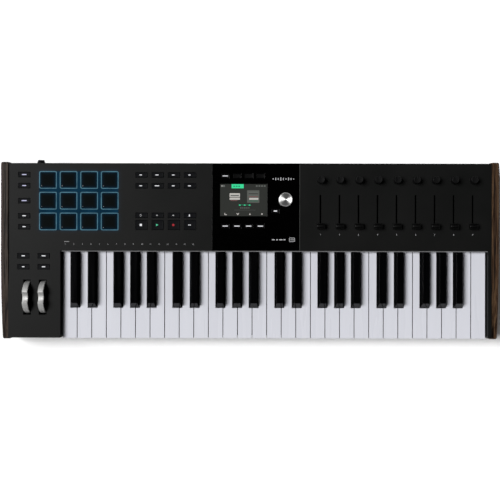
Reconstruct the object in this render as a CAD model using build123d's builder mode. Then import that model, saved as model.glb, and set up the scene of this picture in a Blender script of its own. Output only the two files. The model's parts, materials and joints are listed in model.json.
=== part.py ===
from build123d import *
import os

# A 49-note controller keyboard. Millimetres, +Z up, the player sits on the -Y side.
# The origin is the middle of the footprint, on the surface that the feet stand on.

os.makedirs("parts", exist_ok=True)

# Overall
WIDTH = 798.4           # over both wooden cheeks
CHEEK_T = 11.7
CHEEK_FRONT = -143.6
CHEEK_REAR = 140.8
CHEEK_TOP = 60.0
CHEEK_NOSE = 49.5       # height of the cheek at its front end
INNER = WIDTH / 2 - CHEEK_T - 0.1
FOOT_H = 3.0
FOOT_R = 9.0
FEET = [(x, y) for x in (-368.0, 0.0, 368.0) for y in (-122.0, 118.0)]

# Case and panel
WALL = 2.5
SEAM = 0.05             # between the case's moulded panels
PANEL_TOP = 58.0
PANEL_T = 2.5
PANEL_UNDER = PANEL_TOP - PANEL_T
REAR = 138.9
PANEL_FRONT = -1.3      # edge of the panel above the keys
BLOCK_FRONT = -141.0    # front of the block that holds the wheels
BLOCK_RIGHT = -304.1
STRIP_LEFT = 381.8
CASE_LIP = 17.0         # top of the case front, below the keys
SKIRT_LOW = 20.0        # the panel's skirts beside the keys end here
SKIRT_T = 1.5

# Keys
OCTAVES = 4
NATURALS = 7 * OCTAVES + 1
PITCH = 23.55
KEY_GAP = 1.2
KEYBED_LEFT = -302.6
KEYBED_RIGHT = KEYBED_LEFT + NATURALS * PITCH
KEY_FRONT = -142.7
KEY_TOP = 48.0
KEY_SKIRT = 32.0
KEY_LIP = 28.0
KEY_WALL = 1.6
NOTCH_Y = -93.8         # the naturals narrow behind this line
STEP_Y = 4.0            # under the panel the arms step down
ARM_TOP = 42.0
ARM_WAIST_Y = 48.0      # the arms are narrower around the hinge
ARM_INSET = 1.2
TAIL_Y = 72.0
SHARP_OFFSETS = (20.5, 48.5, 90.0, 117.0, 143.8)
SHARP_W = 13.7
SHARP_TOP_W = 9.8
SHARP_TOP = 59.5
SHARP_FRONT = -92.8
SHARP_TOP_FRONT = -85.4
SHARP_REAR = -3.4
HINGE_Y = 59.4
HINGE_Z = 37.0
ROD_R = 1.5
RUNNING = 0.05          # radial clearance of a running fit

# Boards and switches
BOARD_TOP = 47.0
BOARD_T = 1.6
SWITCH_H = 2.0
BOARD_FRONT = 8.0
BOARD_REAR = 125.5

# Buttons
BUTTON = (18.5, 7.5)
TALL_BUTTON = (18.5, 15.0)
SMALL_BUTTON = (12.4, 6.8)
BUTTON_GAP = 0.5
BUTTON_TOP = 58.7
BUTTON_FLANGE = 1.2     # the hidden flange is wider than the hole by this, each side
SIDE_BUTTONS = [(-362.0, y) for y in (36.8, 54.3, 78.5, 102.6, 120.3)]
SIDE_BUTTONS += [(x, y) for x in (-363.3, -330.7) for y in (-27.4, -9.9)]
DAW_COLUMNS = [-174.0 + 26.0 * i for i in range(4)]
DAW_BUTTONS = [(x, y) for x in DAW_COLUMNS for y in (55.3, 102.6, 120.0)]
TRANSPORT_BUTTONS = [(x, 39.9) for x in DAW_COLUMNS]
CONTEXT_BUTTONS = [(-39.8 + 18.8 * i, y) for i in range(4) for y in (38.3, 118.6)]
CONTEXT_BUTTONS += [(40.6, 62.5)]

# Pads
PAD_CENTRE = (-274.6, 78.6)
PAD_PITCH = (33.0, 33.3)
PAD_FRAME = 28.1
PAD_SIZE = 25.1
PAD_RING = 1.2
PAD_TOP = 59.2

# Centre panel
GLASS_LEFT = -60.9
GLASS_RIGHT = 79.4
GLASS_T = 1.5
DISPLAY = (-10.3, 80.0)
DISPLAY_SIZE = (75.5, 51.6)
ENCODER = (56.5, 80.2)
ENCODER_R = 10.8
ENCODER_TOP = 74.0

# Faders and knobs
COLUMNS = [112.9 + 30.5 * i for i in range(9)]
SLOT_W = 2.8
SLOT_LOW = 34.0
SLOT_HIGH = 88.3
FADER_Y = 38.3
FADER_CAP = (13.0, 9.0, 9.0)
KNOB_Y = 112.2
KNOB_R = 6.5
KNOB_TOP = 71.5
SHAFT_R = 3.0

# Wheels
WHEELS = (-357.3, -332.2)
WHEEL_Y = -76.2
WHEEL_Z = 47.8
WHEEL_R = 26.0
WHEEL_W = 9.5
WHEEL_SLOT = (12.3, 56.0)
AXLE_R = 2.0

# Rear sockets, seen from above, left to right
POWER_X = -339.0
POWER_Z = 42.0
POWER_R = 6.2
POWER_END = 145.0
DC_X = -316.0
USB_X = -292.0
DIN_X = (-262.0, -232.0)
JACK_X = [-196.0 + 22.0 * i for i in range(4)]
SOCKET_Z = 25.0
JACK_R = 3.2
JACK_NOSE_R = 5.4
JACK_END = 140.3
JACK_DEPTH = 29.0
DIN_R = 8.0
MAIN_BOARD_TOP = 15.6

# Case screws: posts stand on the case floor, and the screws come from below
POSTS = [(x, 131.0) for x in (-376.0, -212.0, 0.0, 212.0, 376.0)]
POSTS += [(-376.0, -126.0), (-312.0, -126.0)]
POST_R = 3.2
SCREW_R = 1.25
CHEEK_SCREWS = [(y, 15.0) for y in (-110.0, 100.0)]


def block(x0, x1, y0, y1, z0, z1, mode=Mode.ADD):
    """A box between two corners."""
    with Locations(((x0 + x1) / 2, (y0 + y1) / 2, (z0 + z1) / 2)):
        Box(x1 - x0, y1 - y0, z1 - z0, mode=mode)


def blocks(points, size, z0, z1, mode=Mode.ADD):
    """One equal box at each (x, y) point, between two heights."""
    with Locations(*[(x, y, (z0 + z1) / 2) for x, y in points]):
        Box(size[0], size[1], z1 - z0, mode=mode)


def posts(points, radius, z0, z1, mode=Mode.ADD):
    """One upright cylinder at each (x, y) point, between two heights."""
    with Locations(*[(x, y, (z0 + z1) / 2) for x, y in points]):
        Cylinder(radius, z1 - z0, mode=mode)


def rod_x(x0, x1, y, z, radius, mode=Mode.ADD):
    """A cylinder along X."""
    with Locations(((x0 + x1) / 2, y, z)):
        Cylinder(radius, x1 - x0, rotation=(0, 90, 0), mode=mode)


def rod_y(points, y0, y1, radius, mode=Mode.ADD):
    """One cylinder along Y at each (x, z) point."""
    with Locations(*[(x, (y0 + y1) / 2, z) for x, z in points]):
        Cylinder(radius, y1 - y0, rotation=(90, 0, 0), mode=mode)


def save(piece, name):
    """Labels a finished piece and writes it."""
    piece.part.label = name
    export_step(piece.part, f"parts/{name}.step")


def grown(size, margin):
    """A rectangle's size with a margin on every side."""
    return size[0] + 2 * margin, size[1] + 2 * margin


PADS = [
    (PAD_CENTRE[0] + (i - 1.5) * PAD_PITCH[0], PAD_CENTRE[1] + (j - 1) * PAD_PITCH[1])
    for i in range(4)
    for j in range(3)
]
KNOBS = [(x, KNOB_Y) for x in COLUMNS]
SLOTS = [(x, (SLOT_LOW + SLOT_HIGH) / 2) for x in COLUMNS]
JACKS = [(x, SOCKET_Z) for x in JACK_X]
DINS = [(x, SOCKET_Z) for x in DIN_X]


# Case: a ribbed floor, four walls and the screw posts, moulded panels that meet at hairline seams.
# The front wall is low below the keys, and the rear wall has the socket holes.
with BuildPart() as bottom_case:
    floor_top = FOOT_H + WALL
    wall_low = floor_top + SEAM
    inner_end = INNER - WALL - SEAM
    block(-INNER, INNER, BLOCK_FRONT, REAR, FOOT_H, floor_top)
    for rib_y in (-60.0, 88.0):
        block(-inner_end, inner_end, rib_y - 1, rib_y + 1, floor_top, floor_top + 2)
    block(-INNER, -INNER + WALL, BLOCK_FRONT, REAR, wall_low, PANEL_UNDER)
    block(INNER - WALL, INNER, BLOCK_FRONT, REAR, wall_low, PANEL_UNDER)
    block(-inner_end, inner_end, REAR - WALL, REAR, wall_low, PANEL_UNDER)
    block(-inner_end, BLOCK_RIGHT, BLOCK_FRONT, BLOCK_FRONT + WALL, wall_low, PANEL_UNDER)
    block(BLOCK_RIGHT + SEAM, STRIP_LEFT - SEAM, BLOCK_FRONT, BLOCK_FRONT + WALL, wall_low, CASE_LIP)
    block(STRIP_LEFT, inner_end, BLOCK_FRONT, BLOCK_FRONT + WALL, wall_low, PANEL_UNDER)
    posts(POSTS, POST_R, wall_low, PANEL_UNDER)
    posts(POSTS, SCREW_R + RUNNING, FOOT_H, FOOT_H + 26, Mode.SUBTRACT)
    posts(POSTS, 3.0, FOOT_H, FOOT_H + 1.8, Mode.SUBTRACT)
    rod_y([(POWER_X, POWER_Z)], REAR - WALL, REAR, POWER_R + 0.4, Mode.SUBTRACT)
    rod_y([(DC_X, SOCKET_Z)], REAR - WALL, REAR, 4.6, Mode.SUBTRACT)
    rod_y(DINS, REAR - WALL, REAR, DIN_R + 0.2, Mode.SUBTRACT)
    rod_y(JACKS, REAR - WALL, REAR, JACK_NOSE_R + 0.2, Mode.SUBTRACT)
    block(USB_X - 5.2, USB_X + 5.2, REAR - WALL, REAR, SOCKET_Z - 2.4, SOCKET_Z + 2.4, Mode.SUBTRACT)
    for screw_y, screw_z in CHEEK_SCREWS:
        rod_x(-INNER, INNER, screw_y, screw_z, SCREW_R + 0.2, Mode.SUBTRACT)
save(bottom_case, "bottom_case")

# Top panel: a U-shaped sheet with skirts beside the keys and every cut-out
with BuildPart() as top_panel:
    block(-INNER, INNER, PANEL_FRONT, REAR, PANEL_UNDER, PANEL_TOP)
    block(-INNER, BLOCK_RIGHT, BLOCK_FRONT, PANEL_FRONT, PANEL_UNDER, PANEL_TOP)
    block(STRIP_LEFT, INNER, BLOCK_FRONT, PANEL_FRONT, PANEL_UNDER, PANEL_TOP)
    skirt_front = BLOCK_FRONT + WALL + 0.1
    skirt_rear = PANEL_FRONT + SKIRT_T
    block(BLOCK_RIGHT - SKIRT_T, BLOCK_RIGHT, skirt_front, skirt_rear, SKIRT_LOW, PANEL_UNDER)
    block(STRIP_LEFT, STRIP_LEFT + SKIRT_T, skirt_front, skirt_rear, SKIRT_LOW, PANEL_UNDER)
    block(BLOCK_RIGHT, STRIP_LEFT, PANEL_FRONT, skirt_rear, PANEL_UNDER - 5.5, PANEL_UNDER)
    block(GLASS_LEFT, GLASS_RIGHT, PANEL_FRONT, REAR, PANEL_TOP - GLASS_T, PANEL_TOP, Mode.SUBTRACT)
    blocks(SIDE_BUTTONS + DAW_BUTTONS, grown(BUTTON, BUTTON_GAP), PANEL_UNDER, PANEL_TOP, Mode.SUBTRACT)
    blocks(TRANSPORT_BUTTONS, grown(TALL_BUTTON, BUTTON_GAP), PANEL_UNDER, PANEL_TOP, Mode.SUBTRACT)
    blocks(CONTEXT_BUTTONS, grown(SMALL_BUTTON, BUTTON_GAP), PANEL_UNDER, PANEL_TOP, Mode.SUBTRACT)
    blocks(PADS, (PAD_FRAME + 0.2, PAD_FRAME + 0.2), PANEL_UNDER, PANEL_TOP, Mode.SUBTRACT)
    blocks([DISPLAY], grown(DISPLAY_SIZE, 0.3), PANEL_UNDER, PANEL_TOP, Mode.SUBTRACT)
    blocks(SLOTS, (SLOT_W, SLOT_HIGH - SLOT_LOW), PANEL_UNDER, PANEL_TOP, Mode.SUBTRACT)
    blocks([(x, WHEEL_Y) for x in WHEELS], WHEEL_SLOT, PANEL_UNDER, PANEL_TOP, Mode.SUBTRACT)
    posts(KNOBS, SHAFT_R + 1.2, PANEL_UNDER, PANEL_TOP, Mode.SUBTRACT)
    posts([ENCODER], 5.0, PANEL_UNDER, PANEL_TOP, Mode.SUBTRACT)
save(top_panel, "top_panel")


# Wooden cheeks: a plank whose top edge falls away in a long curve towards the player
def make_cheek(inner_x, outer_x, name):
    low_x = min(inner_x, outer_x)
    with BuildPart() as cheek:
        with BuildSketch(Plane.YZ.offset(low_x)):
            with BuildLine():
                Line((CHEEK_FRONT, FOOT_H), (CHEEK_REAR, FOOT_H))
                Line((CHEEK_REAR, FOOT_H), (CHEEK_REAR, CHEEK_TOP))
                Line((CHEEK_REAR, CHEEK_TOP), (-10.0, CHEEK_TOP))
                TangentArc((-10.0, CHEEK_TOP), (CHEEK_FRONT, CHEEK_NOSE), tangent=(-1, 0))
                Line((CHEEK_FRONT, CHEEK_NOSE), (CHEEK_FRONT, FOOT_H))
            make_face()
        extrude(amount=CHEEK_T)
        ends = cheek.edges().filter_by(Axis.X).group_by(Axis.Y)
        fillet(ends[0] + ends[-1], radius=4.0)
        outer_face = cheek.faces().sort_by(Axis.X)[0 if outer_x < inner_x else -1]
        fillet(outer_face.edges(), radius=2.4)
        hole_x = (inner_x - 0.01, inner_x + 8.0) if outer_x > inner_x else (inner_x - 8.0, inner_x + 0.01)
        for screw_y, screw_z in CHEEK_SCREWS:
            rod_x(hole_x[0], hole_x[1], screw_y, screw_z, SCREW_R + RUNNING, Mode.SUBTRACT)
    save(cheek, name)


make_cheek(-WIDTH / 2 + CHEEK_T, -WIDTH / 2, "cheek_left")
make_cheek(WIDTH / 2 - CHEEK_T, WIDTH / 2, "cheek_right")

# Centre panel: a thin gloss plate let into the top panel
with BuildPart() as centre_panel:
    block(GLASS_LEFT + 0.1, GLASS_RIGHT - 0.1, PANEL_FRONT, REAR, PANEL_TOP - GLASS_T, PANEL_TOP)
    blocks(CONTEXT_BUTTONS, grown(SMALL_BUTTON, BUTTON_GAP), PANEL_UNDER, PANEL_TOP, Mode.SUBTRACT)
    blocks([DISPLAY], grown(DISPLAY_SIZE, 0.2), PANEL_UNDER, PANEL_TOP, Mode.SUBTRACT)
    posts([ENCODER], 5.0, PANEL_UNDER, PANEL_TOP, Mode.SUBTRACT)
save(centre_panel, "centre_panel")

# Display: the cover glass, and the module bonded behind it
with BuildPart() as display_module:
    blocks([DISPLAY], DISPLAY_SIZE, PANEL_TOP - 1.4, PANEL_TOP - 0.2)
    blocks([DISPLAY], grown(DISPLAY_SIZE, -1.5), BOARD_TOP + 0.6, PANEL_TOP - 1.4)
save(display_module, "display_module")


# Keys. A natural is widest in front of the sharps, and its arm runs between them to the hinge.
def arm_span(index):
    """Left and right sides of a natural's arm."""
    left = KEYBED_LEFT + index * PITCH
    right = left + PITCH
    span = [left + KEY_GAP / 2, right - KEY_GAP / 2]
    if index == NATURALS - 1:
        return span
    for offset in SHARP_OFFSETS:
        sharp_x = KEYBED_LEFT + (index // 7) * 7 * PITCH + offset
        if abs(sharp_x - left) < SHARP_W / 2:
            span[0] = sharp_x + SHARP_W / 2 + KEY_GAP
        if abs(sharp_x - right) < SHARP_W / 2:
            span[1] = sharp_x - SHARP_W / 2 - KEY_GAP
    return span


def add_arm(left, right, start_y):
    """The hidden arm of any key, waisted at the hinge, with its hollow and its bore."""
    block(left, right, start_y, ARM_WAIST_Y, KEY_SKIRT, ARM_TOP)
    block(left + ARM_INSET, right - ARM_INSET, ARM_WAIST_Y, TAIL_Y, KEY_SKIRT, ARM_TOP)
    block(left + KEY_WALL, right - KEY_WALL, NOTCH_Y + 4.0, ARM_WAIST_Y - 3.0,
          KEY_SKIRT, ARM_TOP - 2.0, Mode.SUBTRACT)
    rod_x(left, right, HINGE_Y, HINGE_Z, ROD_R + RUNNING, Mode.SUBTRACT)


def add_natural(index):
    left = KEYBED_LEFT + index * PITCH + KEY_GAP / 2
    right = left + PITCH - KEY_GAP
    arm_left, arm_right = arm_span(index)
    block(left, right, KEY_FRONT, NOTCH_Y, KEY_SKIRT, KEY_TOP)
    block(left, right, KEY_FRONT, KEY_FRONT + 2.0, KEY_LIP, KEY_SKIRT)
    block(arm_left, arm_right, NOTCH_Y, STEP_Y, KEY_SKIRT, KEY_TOP)
    block(left + KEY_WALL, right - KEY_WALL, KEY_FRONT + 2.0, NOTCH_Y - KEY_WALL,
          KEY_SKIRT, KEY_TOP - 2.0, Mode.SUBTRACT)
    add_arm(arm_left, arm_right, STEP_Y)


def add_sharp(x):
    left = x - SHARP_W / 2
    right = x + SHARP_W / 2
    base_y = (SHARP_FRONT + SHARP_REAR) / 2
    top_y = (SHARP_TOP_FRONT + SHARP_REAR) / 2
    block(left, right, SHARP_FRONT, SHARP_REAR, KEY_SKIRT, KEY_TOP)
    with BuildSketch(Plane.XY.offset(KEY_TOP)) as foot:
        with Locations((x, base_y)):
            Rectangle(SHARP_W, SHARP_REAR - SHARP_FRONT)
    with BuildSketch(Plane.XY.offset(SHARP_TOP)) as crown:
        with Locations((x, top_y)):
            Rectangle(SHARP_TOP_W, SHARP_REAR - SHARP_TOP_FRONT)
    loft(sections=[foot.sketch, crown.sketch])
    add_arm(left, right, SHARP_REAR)


# Three groups in each octave, so that keys side by side are always in different groups
for octave in range(OCTAVES):
    for group, notes in (("ceg_b", (0, 2, 4, 6)), ("d_f_a", (1, 3, 5))):
        with BuildPart() as naturals:
            for note in notes:
                add_natural(octave * 7 + note)
        save(naturals, f"keys_{octave + 1}_{group}")
    with BuildPart() as sharps:
        for offset in SHARP_OFFSETS:
            add_sharp(KEYBED_LEFT + octave * 7 * PITCH + offset)
    save(sharps, f"keys_{octave + 1}_sharps")
with BuildPart() as top_key:
    add_natural(NATURALS - 1)
save(top_key, "key_top_c")

# Keybed: a plate with guide posts for the keys, stop rails and the comb that carries the hinge rod
NATURAL_XS = [KEYBED_LEFT + (i + 0.5) * PITCH for i in range(NATURALS)]
OCTAVE_LEFTS = [KEYBED_LEFT + octave * 7 * PITCH for octave in range(OCTAVES)]
SHARP_XS = [left + offset for left in OCTAVE_LEFTS for offset in SHARP_OFFSETS]
ARMS = [arm_span(i) for i in range(NATURALS)] + [[x - SHARP_W / 2, x + SHARP_W / 2] for x in SHARP_XS]
ARMS.sort()
ARM_XS = [(left + right) / 2 for left, right in ARMS]
COMB_XS = [left - KEY_GAP / 2 for left, right in ARMS] + [ARMS[-1][1] + KEY_GAP / 2]
BED_TOP = 10.0
STOP_RAIL = (-108.0, -80.0, 22.75)   # front, rear and top
REST_RAIL = (63.5, 73.0, 29.7)
SPRING_WALL = (78.0, 82.0, 43.0)
with BuildPart() as keybed_frame:
    block(KEYBED_LEFT - 0.8, KEYBED_RIGHT + 0.8, -132.0, SPRING_WALL[1], BED_TOP - 2, BED_TOP)
    for foot_y in (-125.0, 0.0, 70.0):
        block(KEYBED_LEFT + 5, KEYBED_RIGHT - 5, foot_y - 3, foot_y + 3, FOOT_H + WALL, BED_TOP - 2)
    for front_y, rear_y, top_z in (STOP_RAIL, REST_RAIL, SPRING_WALL):
        block(KEYBED_LEFT, KEYBED_RIGHT, front_y, rear_y, BED_TOP, top_z)
    block(KEYBED_LEFT, KEYBED_RIGHT, STOP_RAIL[0] + 2, STOP_RAIL[1] - 2,
          BED_TOP - 2, STOP_RAIL[2] - 2, Mode.SUBTRACT)
    blocks([(x, -122.0) for x in NATURAL_XS], (4.0, 8.0), BED_TOP, 36.0)
    blocks([(x, -70.0) for x in SHARP_XS], (4.0, 8.0), BED_TOP, 33.2)
    blocks([(x, HINGE_Y) for x in COMB_XS], (1.6, 7.0), BED_TOP, 41.5)
    for board_y in (-60.0, -33.0):
        blocks([(x, board_y) for x in COMB_XS[::8]], (5.0, 3.0), BED_TOP, 20.0)
    rod_x(KEYBED_LEFT - 1, KEYBED_RIGHT + 1, HINGE_Y, HINGE_Z, ROD_R + 0.02, Mode.SUBTRACT)
save(keybed_frame, "keybed_frame")

# Hinge rod: one steel rod through the comb and every key
with BuildPart() as hinge_rod:
    rod_x(KEYBED_LEFT - 0.8, KEYBED_RIGHT + 0.8, HINGE_Y, HINGE_Z, ROD_R)
save(hinge_rod, "hinge_rod")

# Key contacts: a board with one rubber dome under each key
with BuildPart() as key_contact_board:
    block(KEYBED_LEFT + 2, KEYBED_RIGHT - 2, -62.0, -30.0, 20.0, 21.6)
    posts([(x, -46.0) for x in ARM_XS], 3.4, 21.6, 26.2)
save(key_contact_board, "key_contact_board")

# Return springs: one steel leaf for each key, which presses on its tail
with BuildPart() as key_return_springs:
    blocks([(x, (SPRING_WALL[1] + 61.0) / 2) for x in ARM_XS], (4.0, SPRING_WALL[1] - 61.0), 43.0, 43.5)
save(key_return_springs, "key_return_springs")

# Felts: a stop strip for the naturals, a thicker one for the sharps, a rest strip at the tails,
# and the pale dust strip under the panel's front edge
with BuildPart() as key_felts:
    block(KEYBED_LEFT, KEYBED_RIGHT, STOP_RAIL[0], STOP_RAIL[0] + 10.0, STOP_RAIL[2], STOP_RAIL[2] + 1.0)
    block(KEYBED_LEFT, KEYBED_RIGHT, STOP_RAIL[1] - 12.0, STOP_RAIL[1], STOP_RAIL[2], STOP_RAIL[2] + 1.8)
    block(KEYBED_LEFT, KEYBED_RIGHT, REST_RAIL[0], REST_RAIL[1], REST_RAIL[2], REST_RAIL[2] + 2.0)
    block(BLOCK_RIGHT + 0.1, STRIP_LEFT - 0.1, PANEL_FRONT - 1.5, PANEL_FRONT, 49.0, PANEL_UNDER)
save(key_felts, "key_felts")

# Control boards below the panel, with a switch under every button
with BuildPart() as control_board:
    board_z = BOARD_TOP - BOARD_T
    block(-384.0, -62.0, BOARD_FRONT, BOARD_REAR, board_z, BOARD_TOP)
    block(-384.0, -308.0, -36.0, BOARD_FRONT, board_z, BOARD_TOP)
    block(-60.0, 80.0, BOARD_FRONT, BOARD_REAR, board_z, BOARD_TOP)
    block(82.0, 384.0, BOARD_FRONT, BOARD_REAR, board_z, BOARD_TOP)
    every_button = SIDE_BUTTONS + DAW_BUTTONS + TRANSPORT_BUTTONS + CONTEXT_BUTTONS
    blocks(every_button, (6.0, 6.0), BOARD_TOP, BOARD_TOP + SWITCH_H)
    for pad_x, pad_y in PADS:
        block(pad_x - 13, pad_x + 13, pad_y - 13, pad_y + 13, BOARD_TOP, BOARD_TOP + 3.0)
save(control_board, "control_board")

# Main board: on posts at the rear of the case, under the sockets
with BuildPart() as main_board:
    block(-352.0, -112.0, 92.0, 127.0, MAIN_BOARD_TOP - BOARD_T, MAIN_BOARD_TOP)
    board_feet = [(-330.0, 98.0), (-225.0, 98.0), (-134.0, 98.0)]
    blocks(board_feet, (6.0, 6.0), FOOT_H + WALL, MAIN_BOARD_TOP - BOARD_T)
    chips = [(-300.0, 102.0), (-262.0, 103.0), (-214.0, 102.0)]
    blocks(chips, (14.0, 14.0), MAIN_BOARD_TOP, MAIN_BOARD_TOP + 1.6)
save(main_board, "main_board")

# Light frames: a clear ring around each pad
with BuildPart() as pad_light_frames:
    blocks(PADS, (PAD_FRAME, PAD_FRAME), PANEL_UNDER - 1.5, PANEL_TOP + 0.3)
    inside = PAD_FRAME - 2 * PAD_RING
    blocks(PADS, (inside, inside), PANEL_UNDER - 1.5, PANEL_TOP + 0.3, Mode.SUBTRACT)
save(pad_light_frames, "pad_light_frames")

# Pads: soft squares with a hidden flange below their frames
with BuildPart() as pads:
    blocks(PADS, (PAD_SIZE, PAD_SIZE), PANEL_UNDER - 2.5, PAD_TOP)
    vertical = pads.edges().filter_by(Axis.Z)
    fillet(vertical, radius=1.6)
    blocks(PADS, grown((PAD_SIZE, PAD_SIZE), 1.0), PANEL_UNDER - 3.5, PANEL_UNDER - 2.5)
save(pads, "pads")


# Buttons: a cap in its hole, a hidden flange and a short stem above its switch
def add_buttons(points, size):
    blocks(points, size, PANEL_UNDER - 2.0, BUTTON_TOP)
    blocks(points, grown(size, BUTTON_FLANGE), PANEL_UNDER - 2.6, PANEL_UNDER - 1.4)
    blocks(points, (3.0, 3.0), BOARD_TOP + SWITCH_H + 1.4, PANEL_UNDER - 2.0)


with BuildPart() as side_buttons:
    add_buttons(SIDE_BUTTONS, BUTTON)
save(side_buttons, "side_buttons")

with BuildPart() as daw_buttons:
    add_buttons(DAW_BUTTONS, BUTTON)
    add_buttons(TRANSPORT_BUTTONS, TALL_BUTTON)
save(daw_buttons, "daw_buttons")

with BuildPart() as context_buttons:
    add_buttons(CONTEXT_BUTTONS, SMALL_BUTTON)
save(context_buttons, "context_buttons")

# Slide potentiometers: steel cans with a channel for the fader's blade
POT_TOP = PANEL_UNDER - 0.3
with BuildPart() as slide_pots:
    blocks(SLOTS, (9.0, 66.0), BOARD_TOP, POT_TOP)
    blocks(SLOTS, (3.2, SLOT_HIGH - SLOT_LOW + 1.0), BOARD_TOP + 2.0, POT_TOP, Mode.SUBTRACT)
save(slide_pots, "slide_pots")

# Rotary encoders: one under each knob, and a larger one under the main knob
with BuildPart() as rotary_encoders:
    blocks(KNOBS, (12.0, 12.0), BOARD_TOP, POT_TOP - 1.0)
    posts(KNOBS, SHAFT_R + 1.0, POT_TOP - 1.0, PANEL_TOP - 0.5)
    posts(KNOBS, SHAFT_R + RUNNING, BOARD_TOP + 2.0, PANEL_TOP, Mode.SUBTRACT)
    blocks([ENCODER], (14.0, 14.0), BOARD_TOP, POT_TOP - 1.0)
    posts([ENCODER], SHAFT_R + 1.6, POT_TOP - 1.0, PANEL_TOP - 0.2)
    posts([ENCODER], SHAFT_R + RUNNING, BOARD_TOP + 0.4, PANEL_TOP, Mode.SUBTRACT)
save(rotary_encoders, "rotary_encoders")


# Faders: a blade through the slot and a waisted cap with a ridge across its middle
def make_fader(number, x):
    width, depth, height = FADER_CAP
    low = PANEL_TOP + 0.8
    with BuildPart() as fader:
        with BuildSketch(Plane.YZ.offset(x - width / 2)):
            with BuildLine():
                Polyline((FADER_Y - depth / 2, low), (FADER_Y + depth / 2, low),
                         (FADER_Y + depth / 2, low + height), (FADER_Y + 1.4, low + height - 1.6),
                         (FADER_Y + 0.9, low + height - 0.4), (FADER_Y - 0.9, low + height - 0.4),
                         (FADER_Y - 1.4, low + height - 1.6), (FADER_Y - depth / 2, low + height),
                         close=True)
            make_face()
        extrude(amount=width)
        block(x - 0.9, x + 0.9, FADER_Y - 3.0, FADER_Y + 3.0, BOARD_TOP + 3.0, low)
    save(fader, f"fader_{number}")


# Knobs: a tapered cap with a pointer groove, on its shaft
def make_knob(number, x):
    with BuildPart() as knob:
        posts([(x, KNOB_Y)], SHAFT_R, BOARD_TOP + 2.5, PANEL_TOP + 1.0)
        with BuildSketch(Plane.XY.offset(PANEL_TOP + 1.0)) as base:
            with Locations((x, KNOB_Y)):
                Circle(KNOB_R)
        with BuildSketch(Plane.XY.offset(KNOB_TOP)) as crown:
            with Locations((x, KNOB_Y)):
                Circle(KNOB_R - 0.8)
        loft(sections=[base.sketch, crown.sketch])
        fillet(knob.edges().group_by(Axis.Z)[-1], radius=0.8)
        block(x - 0.4, x + 0.4, KNOB_Y + 2.5, KNOB_Y + KNOB_R, KNOB_TOP - 0.6, KNOB_TOP, Mode.SUBTRACT)
    save(knob, f"knob_{number}")


for number, column in enumerate(COLUMNS, start=1):
    make_fader(number, column)
    make_knob(number, column)

# Main knob: the shaft pushes down to click, and the knob turns on it
with BuildPart() as encoder_shaft:
    posts([ENCODER], SHAFT_R, BOARD_TOP + 1.8, ENCODER_TOP - 6.0)
save(encoder_shaft, "encoder_shaft")

with BuildPart() as encoder_knob:
    posts([ENCODER], ENCODER_R, PANEL_TOP + 1.8, ENCODER_TOP)
    fillet(encoder_knob.edges().group_by(Axis.Z)[-1], radius=1.2)
    posts([ENCODER], SHAFT_R + RUNNING, PANEL_TOP + 1.8, ENCODER_TOP - 5.9, Mode.SUBTRACT)
save(encoder_knob, "encoder_knob")

# Wheel cradle: a plate with four uprights and one axle through both wheels
UPRIGHT_GAP = 0.8
UPRIGHT_T = 1.8
with BuildPart() as wheel_cradle:
    left_x = WHEELS[0] - WHEEL_W / 2 - UPRIGHT_GAP - UPRIGHT_T
    right_x = WHEELS[1] + WHEEL_W / 2 + UPRIGHT_GAP + UPRIGHT_T
    block(left_x, right_x, WHEEL_Y - 12, WHEEL_Y + 12, FOOT_H + WALL, BED_TOP)
    for wheel_x in WHEELS:
        for side in (-1, 1):
            upright_x = wheel_x + side * (WHEEL_W / 2 + UPRIGHT_GAP + UPRIGHT_T / 2)
            block(upright_x - UPRIGHT_T / 2, upright_x + UPRIGHT_T / 2,
                  WHEEL_Y - 12, WHEEL_Y + 12, BED_TOP, WHEEL_Z + 5)
        pot_x = wheel_x + WHEEL_W / 2 + UPRIGHT_GAP + UPRIGHT_T
        rod_x(pot_x, pot_x + 5.0, WHEEL_Y, WHEEL_Z, 7.0)
    rod_x(left_x, right_x, WHEEL_Y, WHEEL_Z, AXLE_R)
save(wheel_cradle, "wheel_cradle")


# Wheels: a disc with a finger scoop in its rim
def make_wheel(x, name):
    with BuildPart() as wheel:
        rod_x(x - WHEEL_W / 2, x + WHEEL_W / 2, WHEEL_Y, WHEEL_Z, WHEEL_R)
        rod_x(x - WHEEL_W / 2, x + WHEEL_W / 2, WHEEL_Y, WHEEL_Z + WHEEL_R + 5.8, 11.0, Mode.SUBTRACT)
        rod_x(x - WHEEL_W / 2, x + WHEEL_W / 2, WHEEL_Y, WHEEL_Z, AXLE_R + RUNNING, Mode.SUBTRACT)
    save(wheel, name)


make_wheel(WHEELS[0], "pitch_wheel")
make_wheel(WHEELS[1], "mod_wheel")

# Power button: a round cap through the rear wall
with BuildPart() as power_button:
    rod_y([(POWER_X, POWER_Z)], REAR - WALL - 2.0, POWER_END, POWER_R)
    chamfer(power_button.edges().group_by(Axis.Y)[-1], length=3.6, length2=1.3)
    rod_y([(POWER_X, POWER_Z)], REAR - WALL - 3.2, REAR - WALL - 2.0, POWER_R + 1.4)
save(power_button, "power_button")

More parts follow.
